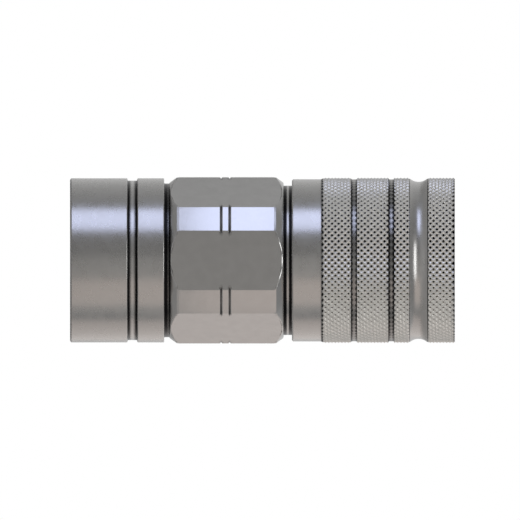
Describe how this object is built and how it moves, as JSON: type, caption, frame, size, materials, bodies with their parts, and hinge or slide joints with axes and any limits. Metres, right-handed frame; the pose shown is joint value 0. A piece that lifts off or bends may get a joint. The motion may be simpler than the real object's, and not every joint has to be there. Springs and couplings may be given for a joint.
{
  "type": "hydraulic quick coupler",
  "caption": "Female half of a flat-face hydraulic quick coupler: hexagon port adapter, knurled locking sleeve over a ball lock, dust ring and sliding valve.",
  "frame": {"origin": "centre of the port face, on the coupler's axis", "axes": "+Z along the axis from the port to the coupling face; a hexagon flat faces -Y and two hexagon corners lie on X"},
  "size_m": [0.0384, 0.0378, 0.0881],
  "materials": {
    "plated_steel": "satin bright plating over turned and milled steel, fine turning lines",
    "turned_steel": "fine-turned steel, ground on the sliding and sealing faces",
    "spring_steel": "drawn spring wire, slightly dark",
    "ball_steel": "polished bearing balls",
    "seal_rubber": "matt black oil-proof rubber",
    "backup_plastic": "off-white slippery plastic"
  },
  "bodies": {
    "coupler_body": {"rear_adapter": "plated_steel", "main_body": "plated_steel", "valve_guide": "turned_steel", "guide_o_ring": "seal_rubber", "guide_backup_ring": "backup_plastic", "sleeve_retaining_ring": "spring_steel", "nose_seal": "seal_rubber", "nose_backup_ring": "backup_plastic", "valve_o_ring": "seal_rubber", "valve_backup_ring": "backup_plastic", "valve_stem": "turned_steel", "stem_seal": "seal_rubber", "stem_spider": "turned_steel", "stem_nut": "turned_steel", "sleeve_spring": "spring_steel", "dust_ring_spring": "spring_steel", "valve_spring": "spring_steel"},
    "washer": {"sleeve_thrust_washer": "turned_steel"},
    "sleeve": {"locking_sleeve": "plated_steel"},
    "dust_ring": {"dust_ring": "turned_steel"},
    "valve": {"valve_sleeve": "turned_steel"},
    "ball_1": {"locking_ball_1": "ball_steel"},
    "ball_2": {"locking_ball_2": "ball_steel"},
    "ball_3": {"locking_ball_3": "ball_steel"},
    "ball_4": {"locking_ball_4": "ball_steel"},
    "ball_5": {"locking_ball_5": "ball_steel"},
    "ball_6": {"locking_ball_6": "ball_steel"},
    "ball_7": {"locking_ball_7": "ball_steel"},
    "ball_8": {"locking_ball_8": "ball_steel"}
  },
  "joints": [
    {"name": "sleeve_slide", "type": "slide", "parent": "coupler_body", "child": "washer", "axis": [0, 0, 1], "range_m": [0, 0.005], "stiffness_N_per_m": 1500, "springref_m": 0.02, "deforming": ["sleeve_spring"]},
    {"name": "sleeve_turn", "type": "hinge", "parent": "washer", "child": "sleeve", "pos_m": [0, 0, 0.0695], "axis": [0, 0, 1], "continuous": true},
    {"name": "dust_ring_slide", "type": "slide", "parent": "coupler_body", "child": "dust_ring", "axis": [0, 0, -1], "range_m": [0, 0.01], "stiffness_N_per_m": 2000, "springref_m": -0.01, "deforming": ["dust_ring_spring"]},
    {"name": "valve_slide", "type": "slide", "parent": "coupler_body", "child": "valve", "axis": [0, 0, -1], "range_m": [0, 0.009], "stiffness_N_per_m": 2000, "springref_m": -0.008, "deforming": ["valve_spring"]},
    {"name": "ball_1_slide", "type": "slide", "parent": "coupler_body", "child": "ball_1", "axis": [-1, 0, 0], "range_m": [0, 0.001]},
    {"name": "ball_2_slide", "type": "slide", "parent": "coupler_body", "child": "ball_2", "axis": [-0.7071, -0.7071, 0], "range_m": [0, 0.001]},
    {"name": "ball_3_slide", "type": "slide", "parent": "coupler_body", "child": "ball_3", "axis": [0, -1, 0], "range_m": [0, 0.001]},
    {"name": "ball_4_slide", "type": "slide", "parent": "coupler_body", "child": "ball_4", "axis": [0.7071, -0.7071, 0], "range_m": [0, 0.001]},
    {"name": "ball_5_slide", "type": "slide", "parent": "coupler_body", "child": "ball_5", "axis": [1, 0, 0], "range_m": [0, 0.001]},
    {"name": "ball_6_slide", "type": "slide", "parent": "coupler_body", "child": "ball_6", "axis": [0.7071, 0.7071, 0], "range_m": [0, 0.001]},
    {"name": "ball_7_slide", "type": "slide", "parent": "coupler_body", "child": "ball_7", "axis": [0, 1, 0], "range_m": [0, 0.001]},
    {"name": "ball_8_slide", "type": "slide", "parent": "coupler_body", "child": "ball_8", "axis": [-0.7071, 0.7071, 0], "range_m": [0, 0.001]}
  ],
  "couplings": [
    {"joint": "dust_ring_slide", "follows": "sleeve_slide", "ratio": 2},
    {"joint": "ball_1_slide", "follows": "sleeve_slide", "ratio": 0.2},
    {"joint": "ball_2_slide", "follows": "sleeve_slide", "ratio": 0.2},
    {"joint": "ball_3_slide", "follows": "sleeve_slide", "ratio": 0.2},
    {"joint": "ball_4_slide", "follows": "sleeve_slide", "ratio": 0.2},
    {"joint": "ball_5_slide", "follows": "sleeve_slide", "ratio": 0.2},
    {"joint": "ball_6_slide", "follows": "sleeve_slide", "ratio": 0.2},
    {"joint": "ball_7_slide", "follows": "sleeve_slide", "ratio": 0.2},
    {"joint": "ball_8_slide", "follows": "sleeve_slide", "ratio": 0.2}
  ]
}
